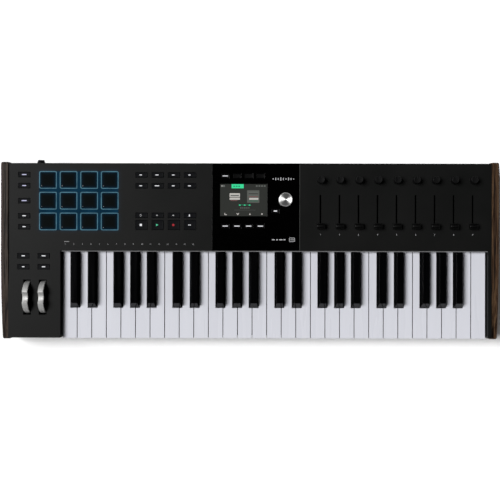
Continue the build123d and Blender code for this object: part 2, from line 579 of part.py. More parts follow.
# Rear sockets: four pedal jacks, two five-pin sockets, a power inlet and a small oval data socket
PIN_RING = 4.6
PINS = [
    (x + PIN_RING * dx, SOCKET_Z + PIN_RING * dz)
    for x in DIN_X
    for dx, dz in ((-1.0, 0.0), (-0.71, -0.71), (0.0, -1.0), (0.71, -0.71), (1.0, 0.0))
]
SOCKET_FACE = REAR - WALL - 0.1
with BuildPart() as rear_sockets:
    for jack_x in JACK_X:
        block(jack_x - 8, jack_x + 8, JACK_END - JACK_DEPTH - 3, SOCKET_FACE, MAIN_BOARD_TOP, SOCKET_Z + 8)
    rod_y(JACKS, SOCKET_FACE, JACK_END, JACK_NOSE_R)
    rod_y(JACKS, JACK_END - JACK_DEPTH, JACK_END, JACK_R, Mode.SUBTRACT)
    for din_x in DIN_X:
        block(din_x - 10, din_x + 10, SOCKET_FACE - 13, SOCKET_FACE, MAIN_BOARD_TOP, SOCKET_Z + 10)
    rod_y(DINS, SOCKET_FACE, REAR + 0.6, DIN_R)
    rod_y(DINS, REAR - 6.0, REAR + 0.6, DIN_R - 0.8, Mode.SUBTRACT)
    rod_y(DINS, REAR - 6.0, REAR - 0.4, DIN_R - 2.0)
    rod_y(PINS, REAR - 6.0, REAR - 0.4, 0.8, Mode.SUBTRACT)
    block(DC_X - 5, DC_X + 5, SOCKET_FACE - 12, SOCKET_FACE, MAIN_BOARD_TOP, SOCKET_Z + 6)
    rod_y([(DC_X, SOCKET_Z)], SOCKET_FACE, REAR, 4.4)
    rod_y([(DC_X, SOCKET_Z)], REAR - 9.0, REAR, 2.8, Mode.SUBTRACT)
    rod_y([(DC_X, SOCKET_Z)], REAR - 9.0, REAR - 1.0, 1.0)
    block(USB_X - 4.8, USB_X + 4.8, REAR - 9.0, REAR - 0.2, SOCKET_Z - 2.0, SOCKET_Z + 2.0)
    block(USB_X - 4.8, USB_X + 4.8, REAR - 11.0, REAR - 9.0, MAIN_BOARD_TOP, SOCKET_Z + 2.0)
    block(USB_X - 4.2, USB_X + 4.2, REAR - 7.5, REAR - 0.2, SOCKET_Z - 1.3, SOCKET_Z + 1.3, Mode.SUBTRACT)
    block(USB_X - 3.2, USB_X + 3.2, REAR - 7.5, REAR - 1.0, SOCKET_Z - 0.4, SOCKET_Z + 0.4)
save(rear_sockets, "rear_sockets")

# Feet: rubber discs glued under the case
with BuildPart() as rubber_feet:
    posts(FEET, FOOT_R, 0.0, FOOT_H)
    fillet(rubber_feet.edges().group_by(Axis.Z)[0], radius=0.8)
save(rubber_feet, "rubber_feet")

# Screws: flat heads in the case floor, and four more through the case sides into the cheeks
with BuildPart() as case_screws:
    posts(POSTS, 2.8, FOOT_H + 0.1, FOOT_H + 1.7)
    posts(POSTS, SCREW_R, FOOT_H + 1.7, FOOT_H + 22)
    for side in (-1, 1):
        for screw_y, screw_z in CHEEK_SCREWS:
            inside_x = side * (INNER - WALL)
            head = sorted((inside_x, inside_x - side * 1.6))
            shank = sorted((inside_x, side * (INNER + 6.0)))
            rod_x(head[0], head[1], screw_y, screw_z, 2.8)
            rod_x(shank[0], shank[1], screw_y, screw_z, SCREW_R)
save(case_screws, "case_screws")
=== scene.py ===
import json
import math

import bmesh
import bpy
from mathutils import Matrix, Vector


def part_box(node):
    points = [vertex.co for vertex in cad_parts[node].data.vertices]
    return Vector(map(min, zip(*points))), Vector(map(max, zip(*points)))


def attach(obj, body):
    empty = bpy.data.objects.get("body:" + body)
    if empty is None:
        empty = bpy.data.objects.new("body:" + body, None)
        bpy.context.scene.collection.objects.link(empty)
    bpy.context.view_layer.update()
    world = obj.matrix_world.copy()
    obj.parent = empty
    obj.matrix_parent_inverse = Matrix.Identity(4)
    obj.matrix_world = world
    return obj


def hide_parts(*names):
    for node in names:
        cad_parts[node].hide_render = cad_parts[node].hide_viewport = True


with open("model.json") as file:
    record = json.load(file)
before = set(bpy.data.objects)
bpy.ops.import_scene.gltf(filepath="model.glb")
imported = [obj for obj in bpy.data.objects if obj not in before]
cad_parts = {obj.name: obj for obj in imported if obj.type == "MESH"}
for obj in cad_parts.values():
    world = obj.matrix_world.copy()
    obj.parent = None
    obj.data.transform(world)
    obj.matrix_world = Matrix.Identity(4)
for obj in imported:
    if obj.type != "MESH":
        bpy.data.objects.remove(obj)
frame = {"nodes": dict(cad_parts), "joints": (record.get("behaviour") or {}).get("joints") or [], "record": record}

# A 49-note controller keyboard. Metres; lengths below are given in millimetres times MM.
MM = 0.001
CHASSIS = "chassis"
NODES = frame["nodes"]
JOINTS = {joint["name"]: joint for joint in frame["joints"]}
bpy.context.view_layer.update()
PANEL_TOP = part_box("top_panel")[1].z
OCTAVES = 4
FADERS = 9
WELD = 0.001 * MM           # vertices nearer than this are one
CREASE = math.radians(35)   # edges that turn by more are drawn sharp
MARK_H = 0.08 * MM          # height of a printed or lit mark
MARK_STEPS = 24             # corners of a round mark


# ---------------------------------------------------------------- materials

class Graph:
    """A short way to write one material's nodes. Texture space is the object's frame, in metres."""

    def __init__(self, name, colour, rough, metal=0.0, **sockets):
        self.mat = bpy.data.materials.new(name)
        self.mat.use_nodes = True
        self.tree = self.mat.node_tree
        self.bsdf = self.tree.nodes["Principled BSDF"]
        self.set(base_color=(*colour, 1.0), roughness=rough, metallic=metal, **sockets)
        self.coords = None

    def set(self, **sockets):
        for key, value in sockets.items():
            self.bsdf.inputs[key.replace("_", " ").title().replace("Ior", "IOR")].default_value = value

    def link(self, output, socket):
        self.tree.links.new(output, socket)

    def feed(self, name, output):
        self.link(output, self.bsdf.inputs[name])

    def axes(self):
        """The X, Y and Z of the shaded point, in metres."""
        if self.coords is None:
            place = self.tree.nodes.new("ShaderNodeTexCoord")
            split = self.tree.nodes.new("ShaderNodeSeparateXYZ")
            self.link(place.outputs["Object"], split.inputs[0])
            self.coords = split.outputs
        return self.coords

    def math(self, operation, a, b=0.0):
        node = self.tree.nodes.new("ShaderNodeMath")
        node.operation = operation
        for socket, value in zip(node.inputs, (a, b)):
            if isinstance(value, (int, float)):
                socket.default_value = value
            else:
                self.link(value, socket)
        return node.outputs[0]

    def noise(self, stretch, detail=3.0, rough=0.5, warp=0.0):
        """Noise with stretch cells to the metre along each axis."""
        place = self.tree.nodes.new("ShaderNodeTexCoord")
        mapping = self.tree.nodes.new("ShaderNodeMapping")
        noise = self.tree.nodes.new("ShaderNodeTexNoise")
        mapping.inputs["Scale"].default_value = stretch
        noise.inputs["Scale"].default_value = 1.0
        noise.inputs["Detail"].default_value = detail
        noise.inputs["Roughness"].default_value = rough
        noise.inputs["Distortion"].default_value = warp
        self.link(place.outputs["Object"], mapping.inputs["Vector"])
        self.link(mapping.outputs["Vector"], noise.inputs["Vector"])
        return noise.outputs["Fac"]

    def ramp(self, value, stops):
        """Colours or grey levels at places along value."""
        node = self.tree.nodes.new("ShaderNodeValToRGB")
        elements = node.color_ramp.elements
        while len(elements) < len(stops):
            elements.new(0.5)
        for element, (place, colour) in zip(elements, stops):
            element.position = place
            shade = colour if isinstance(colour, tuple) else (colour, colour, colour)
            element.color = (*shade, 1.0)
        self.link(value, node.inputs["Fac"])
        return node.outputs["Color"]

    def bump(self, height, depth, strength=1.0):
        node = self.tree.nodes.new("ShaderNodeBump")
        node.inputs["Distance"].default_value = depth
        node.inputs["Strength"].default_value = strength
        self.link(height, node.inputs["Height"])
        self.feed("Normal", node.outputs["Normal"])

    def vary(self, dark, light, stretch, rough=None, detail=3.0):
        """Colour that drifts between dark and light, and roughness with it."""
        value = self.noise(stretch, detail)
        self.feed("Base Color", self.ramp(value, [(0.3, dark), (0.7, light)]))
        if rough:
            self.feed("Roughness", self.ramp(value, [(0.3, rough[0]), (0.7, rough[1])]))


def even(cells):
    """The same stretch along each axis."""
    return (cells, cells, cells)


def pad_glow(graph, reach, level):
    """Light that spills from the pads' rings: bright along each ring's line, fading over reach.

    The line is a rounded square about each pad, and distance is how far a point lies from it.
    """
    low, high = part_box("pad_light_frames")
    first_low, first_high = islands("pad_light_frames")[0]
    frame_size = first_high.x - first_low.x
    half = frame_size / 2 - 1.0 * MM
    corner = 2.5 * MM
    offsets = []
    for axis, count in ((0, 4), (1, 3)):
        pitch = (high[axis] - low[axis] - frame_size) / (count - 1)
        start = (low[axis] + high[axis]) / 2 - pitch * count / 2
        place = graph.math("DIVIDE", graph.math("SUBTRACT", graph.axes()[axis], start), pitch)
        index = graph.math("MINIMUM", graph.math("MAXIMUM", graph.math("FLOOR", place), 0), count - 1)
        from_centre = graph.math("SUBTRACT", graph.math("SUBTRACT", place, index), 0.5)
        offsets.append(graph.math("MULTIPLY", graph.math("ABSOLUTE", from_centre), pitch))
    beyond = [graph.math("MAXIMUM", graph.math("SUBTRACT", value, half - corner), 0) for value in offsets]
    squares = [graph.math("MULTIPLY", value, value) for value in beyond]
    round_part = graph.math("SQRT", graph.math("ADD", *squares))
    furthest = graph.math("MAXIMUM", *offsets)
    flat_part = graph.math("MINIMUM", graph.math("SUBTRACT", furthest, half - corner), 0)
    outside = graph.math("SUBTRACT", graph.math("ADD", round_part, flat_part), corner)
    distance = graph.math("ABSOLUTE", outside)
    fall = graph.math("EXPONENT", graph.math("MULTIPLY", distance, -1.0 / reach))
    graph.feed("Emission Strength", graph.math("MULTIPLY", fall, level))
    graph.set(emission_color=(0.01, 0.16, 0.36, 1.0))


def coat_paint():
    """Matt black powder coat: a fine grain, with faint cloudy differences, lit by the pads' rings."""
    graph = Graph("panel_paint", (0.005, 0.005, 0.005), 0.45, specular_ior_level=0.078)
    graph.vary((0.0043, 0.0045, 0.0043), (0.0055, 0.0056, 0.0054), even(14.0), (0.42, 0.48))
    graph.bump(graph.noise(even(1600.0), 2.0), 0.05 * MM, 0.5)
    pad_glow(graph, 1.8 * MM, 0.12)
    return graph.mat


def moulded(name, colour, rough, grain=2200.0, depth=0.04, **sockets):
    """Moulded plastic or rubber with a fine spark-eroded texture."""
    graph = Graph(name, colour, rough, **sockets)
    dark = tuple(0.82 * c for c in colour)
    light = tuple(min(1.0, 1.14 * c) for c in colour)
    graph.vary(dark, light, even(55.0), (rough * 0.92, min(1.0, rough * 1.08)))
    graph.bump(graph.noise(even(grain), 2.0), depth * MM, 0.5)
    return graph.mat


def walnut_wood(name, warm):
    """Oiled walnut: long bands, darker veins and open pores, all along Y. warm runs from 0 to 1."""
    graph = Graph(name, (0.05, 0.035, 0.025), 0.5, specular_ior_level=0.11)
    bands = graph.noise((430.0, 9.0, 260.0), 5.0, 0.68, 0.5)
    dark = (0.0022, 0.0012, 0.0008)
    mid = (0.018 + 0.004 * warm, 0.012 - 0.002 * warm, 0.0092 - 0.0045 * warm)
    pale = (0.046 + 0.040 * warm, 0.033 + 0.016 * warm, 0.025)
    stops = [(0.40, dark), (0.47, mid), (0.56, pale), (0.64, mid), (0.70, dark)]
    graph.feed("Base Color", graph.ramp(bands, stops))
    pores = graph.noise((2400.0, 45.0, 2400.0), 2.0, 0.6)
    graph.feed("Roughness", graph.ramp(pores, [(0.35, 0.62), (0.6, 0.42)]))
    graph.bump(graph.ramp(pores, [(0.36, 0.0), (0.5, 1.0)]), 0.09 * MM, 0.7)
    return graph.mat


def gloss_plate():
    """Polished black acrylic with hair-fine handling marks in its gloss."""
    graph = Graph("gloss_black", (0.0002, 0.0002, 0.0002), 0.1, specular_ior_level=0.3)
    marks = graph.noise((40.0, 900.0, 40.0), 2.0, 0.6, 0.4)
    graph.feed("Roughness", graph.ramp(marks, [(0.4, 0.07), (0.75, 0.16)]))
    return graph.mat


def key_white():
    """White key plastic, slightly cool, with a soft gloss and a barely visible moulding flow."""
    graph = Graph("key_white", (0.565, 0.572, 0.616), 0.28, specular_ior_level=0.4)
    graph.vary((0.557, 0.563, 0.609), (0.573, 0.579, 0.625), (70.0, 6.0, 30.0), (0.26, 0.30))
    graph.bump(graph.noise(even(700.0), 2.0), 0.01 * MM, 0.3)
    return graph.mat


def key_black():
    """Black key plastic: satin top, worn a little smoother in patches."""
    graph = Graph("key_black", (0.0008, 0.0008, 0.001), 0.13, specular_ior_level=0.2)
    graph.vary((0.0006, 0.0006, 0.0008), (0.0011, 0.0011, 0.0013), (200.0, 18.0, 90.0), (0.11, 0.15))
    graph.bump(graph.noise(even(1800.0), 2.0), 0.004 * MM, 0.3)
    return graph.mat


def felt():
    """Pressed grey felt."""
    graph = Graph("felt_grey", (0.3, 0.3, 0.31), 0.95, sheen_weight=0.4)
    graph.vary((0.11, 0.11, 0.115), (0.21, 0.21, 0.215), even(1500.0), detail=6.0)
    graph.bump(graph.noise(even(3500.0), 5.0, 0.7), 0.2 * MM, 0.8)
    return graph.mat


def brushed(name, colour, rough, stretch):
    """Metal with fine lines along the axis where stretch is smallest, or a plain grain where it is even."""
    graph = Graph(name, colour, rough, 1.0)
    lines = graph.noise(stretch, 3.0, 0.6)
    dark = tuple(0.72 * c for c in colour)
    graph.feed("Base Color", graph.ramp(lines, [(0.3, dark), (0.7, colour)]))
    graph.feed("Roughness", graph.ramp(lines, [(0.3, rough * 1.25), (0.7, rough * 0.8)]))
    graph.bump(lines, 0.02 * MM, 0.5)
    return graph.mat


def spun_metal(centre):
    """Aluminium turned on a lathe: rings about the knob's axis stretch every highlight into fans."""
    ring_cells = 5200.0
    graph = Graph("spun_aluminium", (0.86, 0.86, 0.85), 0.40, 1.0, anisotropic=0.86,
                  anisotropic_rotation=0.25)
    offsets = [graph.math("SUBTRACT", graph.axes()[axis], centre[axis]) for axis in (0, 1)]
    squares = [graph.math("MULTIPLY", value, value) for value in offsets]
    radius = graph.math("SQRT", graph.math("ADD", *squares))
    join = graph.tree.nodes.new("ShaderNodeCombineXYZ")
    graph.link(graph.math("MULTIPLY", radius, ring_cells), join.inputs[0])
    rings = graph.tree.nodes.new("ShaderNodeTexNoise")
    rings.inputs["Scale"].default_value = 1.0
    rings.inputs["Detail"].default_value = 3.0
    graph.link(join.outputs[0], rings.inputs["Vector"])
    stops = [(0.3, (0.58, 0.58, 0.57)), (0.7, (0.88, 0.88, 0.87))]
    graph.feed("Base Color", graph.ramp(rings.outputs["Fac"], stops))
    graph.bump(rings.outputs["Fac"], 0.02 * MM, 0.35)
    return graph.mat


def lit(name, colour, strength):
    """A lit legend, lamp or screen mark: a faint cloud keeps it from looking printed."""
    graph = Graph(name, tuple(0.04 * c for c in colour), 0.6, emission_color=(*colour, 1.0),
                  specular_ior_level=0.05)
    cloud = graph.noise(even(900.0), 2.0)
    graph.feed("Emission Strength", graph.ramp(cloud, [(0.3, 0.86 * strength), (0.7, strength)]))
    return graph.mat


def ink(name, colour):
    """Screen-printed ink with a slightly broken edge."""
    graph = Graph(name, colour, 0.7, specular_ior_level=0.1)
    graph.vary(tuple(0.8 * c for c in colour), colour, even(2500.0))
    return graph.mat


def circuit_board():
    """Green solder mask with the shade of tracks below it."""
    graph = Graph("board_green", (0.01, 0.08, 0.035), 0.35)
    tracks = graph.noise((260.0, 900.0, 260.0), 1.0)
    stops = [(0.46, (0.006, 0.055, 0.022)), (0.5, (0.014, 0.11, 0.045))]
    graph.feed("Base Color", graph.ramp(tracks, stops))
    return graph.mat


def ring_light():
    """The clear frame round a pad, lit blue from below, a little uneven along its length."""
    graph = Graph("ring_light", (0.02, 0.04, 0.05), 0.35, emission_color=(0.20, 0.62, 0.86, 1.0),
                  specular_ior_level=0.2)
    uneven = graph.noise(even(70.0), 2.0)
    graph.feed("Emission Strength", graph.ramp(uneven, [(0.32, 0.14), (0.68, 0.26)]))
    return graph.mat


def blue_web():
    """The panel's web between the pads, washed in blue light from the rings."""
    graph = Graph("blue_web", (0.0005, 0.002, 0.004), 0.7, emission_color=(0.03, 0.48, 1.0, 1.0),
                  specular_ior_level=0.03)
    uneven = graph.noise(even(60.0), 2.0)
    graph.feed("Emission Strength", graph.ramp(uneven, [(0.32, 0.036), (0.68, 0.056)]))
    return graph.mat


def pad_silicone():
    """Black silicone pad: fine grain, with the rings' light on its rim."""
    graph = Graph("pad_silicone", (0.0018, 0.0027, 0.0028), 0.62, specular_ior_level=0.02)
    graph.vary((0.0014, 0.0024, 0.0025), (0.0020, 0.0030, 0.0032), even(60.0), (0.58, 0.68))
    graph.bump(graph.noise(even(1900.0), 2.0), 0.05 * MM, 0.5)
    pad_glow(graph, 1.6 * MM, 0.12)
    return graph.mat


# ---------------------------------------------------------------- mesh helpers

def islands(node):
    """Boxes of a node's separate solids, from left to right, then front to back."""
    bm = bmesh.new()
    bm.from_mesh(NODES[node].data)
    bmesh.ops.remove_doubles(bm, verts=bm.verts, dist=WELD)
    seen = set()
    found = []
    for first in bm.verts:
        if first in seen:
            continue
        seen.add(first)
        stack = [first]
        points = []
        while stack:
            vert = stack.pop()
            points.append(vert.co.copy())
            for edge in vert.link_edges:
                other = edge.other_vert(vert)
                if other not in seen:
                    seen.add(other)
                    stack.append(other)
        low = Vector([min(p[i] for p in points) for i in range(3)])
        high = Vector([max(p[i] for p in points) for i in range(3)])
        found.append((low, high))
    bm.free()
    return sorted(found, key=lambda box: (round(box[0].x, 4), box[0].y))


def middle(box):
    """The centre of a box."""
    return (box[0] + box[1]) / 2


def add_piece(bm, name, mats, body, replaces=()):
    """Makes an object of bm, shaded smooth up to CREASE, riding on body."""
    bmesh.ops.recalc_face_normals(bm, faces=bm.faces)
    mesh = bpy.data.meshes.new(name)
    bm.to_mesh(mesh)
    bm.free()
    for polygon in mesh.polygons:
        polygon.use_smooth = True
    mesh.set_sharp_from_angle(angle=CREASE)
    for mat in mats:
        mesh.materials.append(mat)
    piece = bpy.data.objects.new(name, mesh)
    bpy.context.scene.collection.objects.link(piece)
    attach(piece, body)
    if replaces:
        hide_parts(*replaces)
    return piece


def skin(bm, loops, mat=0, closed=False):
    """Faces between loops of equal length, capped, or with the last loop joined back to the first."""
    rows = [[bm.verts.new(point) for point in loop] for loop in loops]
    pairs = list(zip(rows, rows[1:]))
    if closed:
        pairs.append((rows[-1], rows[0]))
    for low, high in pairs:
        for i in range(len(low)):
            j = (i + 1) % len(low)
            bm.faces.new((low[i], low[j], high[j], high[i])).material_index = mat
    if not closed:
        bm.faces.new(rows[0][::-1]).material_index = mat
        bm.faces.new(rows[-1]).material_index = mat


def rounded_loop(centre, size, radius, z, arc=4):
    """Points of a rounded rectangle at one height."""
    radius = max(radius, 0.02 * MM)
    points = []
    for quarter, (side_x, side_y) in enumerate(((1, 1), (-1, 1), (-1, -1), (1, -1))):
        for i in range(arc + 1):
            angle = math.radians(90 * (quarter + i / arc))
            x = centre[0] + side_x * (size[0] / 2 - radius) + radius * math.cos(angle)
            y = centre[1] + side_y * (size[1] / 2 - radius) + radius * math.sin(angle)
            points.append(Vector((x, y, z)))
    return points


def slab(bm, centre, size, radius, levels, mat=0, arc=4, closed=False):
    """A rounded rectangle that changes its inset with height. levels are (inset, z) pairs."""
    loops = [
        rounded_loop(centre, (size[0] - 2 * inset, size[1] - 2 * inset), radius - inset, z, arc)
        for inset, z in levels
    ]
    skin(bm, loops, mat, closed)


def round_edge(top, radius, steps):
    """Levels of a quarter-round edge that ends flush with top."""
    angles = [math.radians(90 * i / steps) for i in range(steps + 1)]
    return [(radius * (1 - math.cos(angle)), top - radius + radius * math.sin(angle)) for angle in angles]


def lathe(bm, centre, profile, steps, ripple=None, mat=0):
    """A turned shape about a vertical axis. ripple gives a share of radius for a row and angle."""
    loops = []
    for row, (radius, z) in enumerate(profile):
        loop = []
        for i in range(steps):
            angle = 2 * math.pi * i / steps
            r = radius * (ripple(row, angle) if ripple else 1.0)
            loop.append(Vector((centre[0] + r * math.cos(angle), centre[1] + r * math.sin(angle), z)))
        loops.append(loop)
    skin(bm, loops, mat)


def softened(node, name, width, mats, body=CHASSIS, segments=2):
    """A copy of a CAD node's shape with its edges rounded, which stands in for it.

    A second material in mats goes on the faces that look left or right; on the keys it is the painted flank shade.
    """
    flat_angle = math.radians(1)
    edge_angle = math.radians(30)
    sideways = 0.985
    bm = bmesh.new()
    bm.from_mesh(NODES[node].data)
    bmesh.ops.remove_doubles(bm, verts=bm.verts, dist=WELD)
    bmesh.ops.dissolve_limit(bm, angle_limit=flat_angle, verts=bm.verts, edges=bm.edges)
    sharp = [e for e in bm.edges if len(e.link_faces) == 2 and e.calc_face_angle(0.0) > edge_angle]
    bmesh.ops.bevel(bm, geom=sharp, offset=width, offset_type="OFFSET", segments=segments,
                    profile=0.5, affect="EDGES", clamp_overlap=True)
    for face in bm.faces:
        face.material_index = int(len(mats) > 1 and abs(face.normal.x) > sideways)
    piece = add_piece(bm, name, mats, body, (node,))
    flat = piece.modifiers.new("flat_faces", "WEIGHTED_NORMAL")
    flat.keep_sharp = True
    flat.weight = 100


# ---------------------------------------------------------------- the materials by key

MAT = {
    "panel": coat_paint(),
    "case": moulded("case_plastic", (0.012, 0.012, 0.012), 0.6, 1500.0, 0.06),
    "wood_left": walnut_wood("walnut_left", 0.0),
    "wood_right": walnut_wood("walnut_right", 1.0),
    "gloss": gloss_plate(),
    "white": key_white(),
    # painted shade: the white keys' side faces are a dark grey, so the gaps between the keys look shadowed
    "flank": moulded("key_flank_shade", (0.12, 0.12, 0.13), 0.6, 900.0, 0.02, specular_ior_level=0.1),
    "black": key_black(),
    # painted shade: the black keys' side faces reflect nothing at all, so they stay dark
    "sharp_flank_shade": moulded("sharp_flank_shade", (0.0024, 0.0024, 0.0027), 0.5, 900.0, 0.02,
                           specular_ior_level=0.0),
    "felt": felt(),
    "button": moulded("button_black", (0.0022, 0.0025, 0.0032), 0.5, 2600.0, 0.02,
                      specular_ior_level=0.05),
    "cap": moulded("plate_button_black", (0.0006, 0.0006, 0.0007), 0.45, 2600.0, 0.02,
                   specular_ior_level=0.06),
    "rubber": moulded("knob_rubber", (0.0019, 0.0019, 0.002), 0.5, 2400.0, 0.03, specular_ior_level=0.11),
    "satin": moulded("fader_black", (0.0015, 0.0015, 0.0015), 0.45, 2400.0, 0.02,
                     specular_ior_level=0.12),
    "shutter": moulded("dust_shutter", (0.0006, 0.0006, 0.0006), 0.8, 1500.0, 0.03,
                       specular_ior_level=0.05),
    "frame": moulded("frame_plastic", (0.02, 0.02, 0.021), 0.55, 900.0, 0.03),
    "foot": moulded("foot_rubber", (0.015, 0.015, 0.015), 0.8, 1200.0, 0.06),
    "socket": moulded("socket_black", (0.008, 0.008, 0.008), 0.45, 1800.0, 0.02),
    "steel": brushed("bright_steel", (0.55, 0.55, 0.56), 0.32, (30.0, 1400.0, 1400.0)),
    "nickel": brushed("nickel", (0.62, 0.60, 0.56), 0.25, even(900.0)),
    "wheel": brushed("wheel_silver", (0.56, 0.56, 0.55), 0.62, (2600.0, 120.0, 120.0)),
    "board": circuit_board(),
    "ring": ring_light(),
    "pad": pad_silicone(),
    "web": blue_web(),
    "legend": lit("legend_white", (0.95, 0.96, 1.0), 0.9),
    "legend_cool": lit("legend_cool", (0.72, 0.72, 1.0), 0.8),
    "green_lamp": lit("lamp_green", (0.12, 0.75, 0.42), 0.75),
    "red_lamp": lit("lamp_red", (0.85, 0.06, 0.08), 0.4),
    "ink": ink("panel_ink", (0.42, 0.42, 0.43)),
    "mark": ink("mark_ink", (0.42, 0.42, 0.43)),
    "faint": ink("faint_ink", (0.008, 0.008, 0.0085)),
}

CAD_FINISH = {
    "cheek_left": "wood_left",
    "cheek_right": "wood_right",
    "hinge_rod": "steel",
    "keybed_frame": "frame",
    "key_contact_board": "board",
    "key_return_springs": "steel",
    "key_felts": "felt",
    "control_board": "board",
    "main_board": "board",
    "slide_pots": "shutter",
    "rotary_encoders": "steel",
    "wheel_cradle": "frame",
    "rear_sockets": "socket",
    "rubber_feet": "foot",
    "case_screws": "steel",
    "encoder_shaft": "steel",
    "display_module": "gloss",
    "power_button": "button",
}


def finish_cad_nodes():
    """Materials for the CAD nodes that are shown as they are."""
    for node, key in CAD_FINISH.items():
        mesh = NODES[node].data
        mesh.materials.clear()
        mesh.materials.append(MAT[key])


# ---------------------------------------------------------------- case

def make_case():
    """The case, the panel sheet and the gloss plate, each with its edges broken."""
    softened("bottom_case", "case_shell", 0.5 * MM, [MAT["case"]])
    softened("top_panel", "panel_sheet", 0.25 * MM, [MAT["panel"]])
    softened("centre_panel", "gloss_plate", 0.15 * MM, [MAT["gloss"]])


# ---------------------------------------------------------------- keys

def make_keys():
    """Keys with rounded edges. Their flanks are matt and carry painted shade: dark grey on the white keys, so the
    gaps between them look shadowed, and a black that reflects nothing on the black keys.
    """
    white = [MAT["white"], MAT["flank"]]
    black = [MAT["black"], MAT["sharp_flank_shade"]]
    white_round = 0.5 * MM
    black_round = 1.2 * MM
    for octave in range(1, OCTAVES + 1):
        for group in ("ceg_b", "d_f_a"):
            node = f"keys_{octave}_{group}"
            softened(node, f"{node}_moulding", white_round, white, node, 3)
        node = f"keys_{octave}_sharps"
        softened(node, f"{node}_moulding", black_round, black, node, 4)
    softened("key_top_c", "key_top_c_moulding", white_round, white, "key_top_c", 3)


# ---------------------------------------------------------------- pads

PAD_FLANGE = 1.0 * MM
RING_WALL = 1.2 * MM
RING_EDGE = 0.3 * MM


def make_pad_rings():
    """A clear frame round each pad, with its upper edges chamfered."""
    rings = bmesh.new()
    for low, high in islands("pad_light_frames"):
        size = (high.x - low.x, high.y - low.y)
        outer = [(0.0, low.z), (0.0, high.z - RING_EDGE), (RING_EDGE, high.z)]
        inner = [(RING_WALL - RING_EDGE, high.z), (RING_WALL, high.z - RING_EDGE), (RING_WALL, low.z)]
        slab(rings, middle((low, high)), size, 2.6 * MM, outer + inner, arc=6, closed=True)
    add_piece(rings, "pad_rings", [MAT["ring"]], CHASSIS, ("pad_light_frames",))


def make_pad_web():
    """The strips of panel between the frames, covered by a painted blue glow from the rings: three whole columns,
    and short rungs across the ranks.
    """
    web = bmesh.new()
    gap = 0.3 * MM
    levels = [(0.0, PANEL_TOP - 0.02 * MM), (0.0, PANEL_TOP + 0.05 * MM)]
    frames = islands("pad_light_frames")
    columns = sorted({(round(low.x, 4), round(high.x, 4)) for low, high in frames})
    ranks = sorted({(round(low.y, 4), round(high.y, 4)) for low, high in frames})
    front, rear = ranks[0][0], ranks[-1][1]
    for left, right in zip(columns, columns[1:]):
        centre = ((left[1] + right[0]) / 2, (front + rear) / 2)
        slab(web, centre, (right[0] - left[1] - gap, rear - front), 1.0 * MM, levels, arc=3)
    for low_rank, high_rank in zip(ranks, ranks[1:]):
        for left, right in columns:
            centre = ((left + right) / 2, (low_rank[1] + high_rank[0]) / 2)
            size = (right - left + gap, high_rank[0] - low_rank[1] - gap)
            slab(web, centre, size, 0.1 * MM, levels, arc=3)
    # painted glow: the sheet's blue light comes from its own material, though the panel is no lamp
    add_piece(web, "pad_web_glow", [MAT["web"]], CHASSIS)


def make_pad_caps():
    """Silicone pads with round shoulders and a slightly crowned top, each on its hidden flange."""
    caps = bmesh.new()
    for low, high in islands("pads"):
        size = (high.x - low.x - 2 * PAD_FLANGE, high.y - low.y - 2 * PAD_FLANGE)
        flange_top = low.z + 1.0 * MM
        levels = [(-PAD_FLANGE, low.z), (-PAD_FLANGE, flange_top), (0.0, flange_top)]
        levels += round_edge(high.z - 0.25 * MM, 0.9 * MM, 4)
        levels += [(4.0 * MM, high.z - 0.08 * MM), (9.0 * MM, high.z)]
        slab(caps, middle((low, high)), size, 1.9 * MM, levels, arc=6)
    add_piece(caps, "pad_caps", [MAT["pad"]], "pads", ("pads",))


# ---------------------------------------------------------------- buttons

BUTTON_FLANGE = 1.2 * MM
LEGEND_DEPTH = 0.16 * MM    # the legends lie this far below a cap's rim, in its dish


def make_buttons(node, finish):
    """Caps with crisp rounded edges and a shallow dish, on the hidden flange and stem."""
    caps = bmesh.new()
    for low, high in islands(node):
        centre = middle((low, high))
        size = (high.x - low.x - 2 * BUTTON_FLANGE, high.y - low.y - 2 * BUTTON_FLANGE)
        flange_z = high.z - 5.8 * MM
        flange_top = flange_z + 1.2 * MM
        levels = [(-BUTTON_FLANGE, flange_z), (-BUTTON_FLANGE, flange_top), (0.0, flange_top)]
        levels += round_edge(high.z, 0.45 * MM, 3)
        levels += [(1.0 * MM, high.z - 0.12 * MM), (1.8 * MM, high.z - 0.18 * MM)]
        slab(caps, centre, size, 0.7 * MM, levels)
        stem = 3.0 * MM
        slab(caps, centre, (stem, stem), 0.3 * MM, [(0.0, low.z), (0.0, flange_z)])
    add_piece(caps, f"{node}_caps", [MAT[finish]], node, (node,))


def add_bar(bm, x, y, z, width, height, mat=0):
    """A flat dash with round ends."""
    slab(bm, (x, y), (width, height), 0.45 * min(width, height), [(0.0, z), (0.0, z + MARK_H)], mat, 3)


def add_polygon(bm, x, y, z, points, mat=0):
    """A flat mark from points given in millimetres about (x, y)."""
    loops = [[Vector((x + px * MM, y + py * MM, z + h)) for px, py in points] for h in (0.0, MARK_H)]
    skin(bm, loops, mat)


def add_disc(bm, x, y, z, radius, mat=0):
    """A round mark."""
    lathe(bm, (x, y), [(radius, z), (radius, z + MARK_H)], MARK_STEPS, mat=mat)


def add_hoop(bm, x, y, z, radius, width, mat=0):
    """A round mark with an open middle."""
    angles = [2 * math.pi * i / MARK_STEPS for i in range(MARK_STEPS)]
    rows = ((radius, 0.0), (radius, MARK_H), (radius - width, MARK_H), (radius - width, 0.0))
    loops = [[Vector((x + r * math.cos(a), y + r * math.sin(a), z + h)) for a in angles] for r, h in rows]
    skin(bm, loops, mat, closed=True)


def rows_of(node):
    """The button centres of a node as rows from rear to front, each from left to right."""
    rows = {}
    for box in islands(node):
        centre = middle(box)
        rows.setdefault(round(centre.y, 3), []).append((centre.x, centre.y))
    return [sorted(rows[y]) for y in sorted(rows, reverse=True)]


